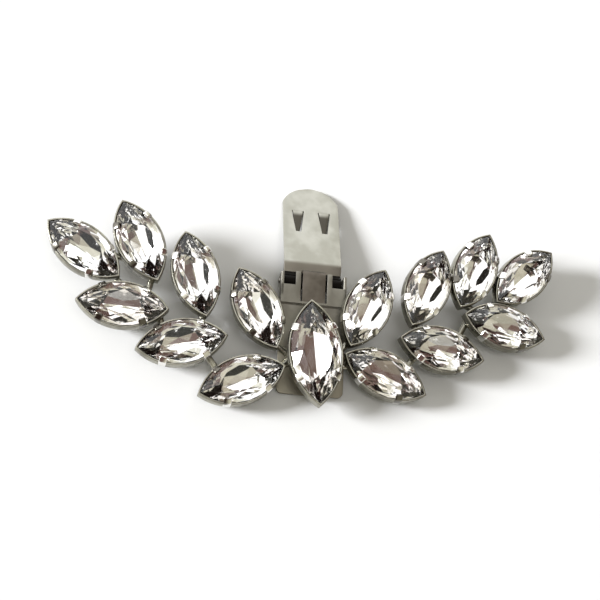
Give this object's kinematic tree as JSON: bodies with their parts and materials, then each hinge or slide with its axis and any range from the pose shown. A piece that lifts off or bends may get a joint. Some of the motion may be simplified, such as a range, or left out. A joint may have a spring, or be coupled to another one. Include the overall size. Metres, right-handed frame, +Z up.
{
  "type": "shoe buckle",
  "caption": "Clip-on jewelled shoe buckle: a curved spray of clear navette stones in claw cups, with a hinged spring clip behind it, lying on its open flap.",
  "frame": {"origin": "centre of the bounding box, on the table it lies on", "axes": "+X along the spray to the right wing, +Y away from the viewer to the tip of the open flap, +Z up"},
  "size_m": [0.0924, 0.0469, 0.0098],
  "materials": {
    "cup_metal": "polished silver-tone plating, slightly worn",
    "clip_metal": "satin nickel plating",
    "pin_metal": "drawn wire",
    "stone_glass": "clear cut glass with a silvered back"
  },
  "bodies": {
    "spray": {"spray_frame": "cup_metal", "hinge_pin": "pin_metal", "centre_stone": "stone_glass", "left_stone_1": "stone_glass", "left_stone_2": "stone_glass", "left_stone_3": "stone_glass", "left_stone_4": "stone_glass", "left_stone_5": "stone_glass", "left_stone_6": "stone_glass", "left_stone_7": "stone_glass", "right_stone_1": "stone_glass", "right_stone_2": "stone_glass", "right_stone_3": "stone_glass", "right_stone_4": "stone_glass", "right_stone_5": "stone_glass", "right_stone_6": "stone_glass", "right_stone_7": "stone_glass"},
    "flap": {"clip_arm": "clip_metal"}
  },
  "joints": [
    {"name": "flap_hinge", "type": "hinge", "parent": "spray", "child": "flap", "pos_m": [0.00131, 0.00181, 0.00279], "axis": [1, 0, 0], "range_deg": [-160, 0]}
  ]
}
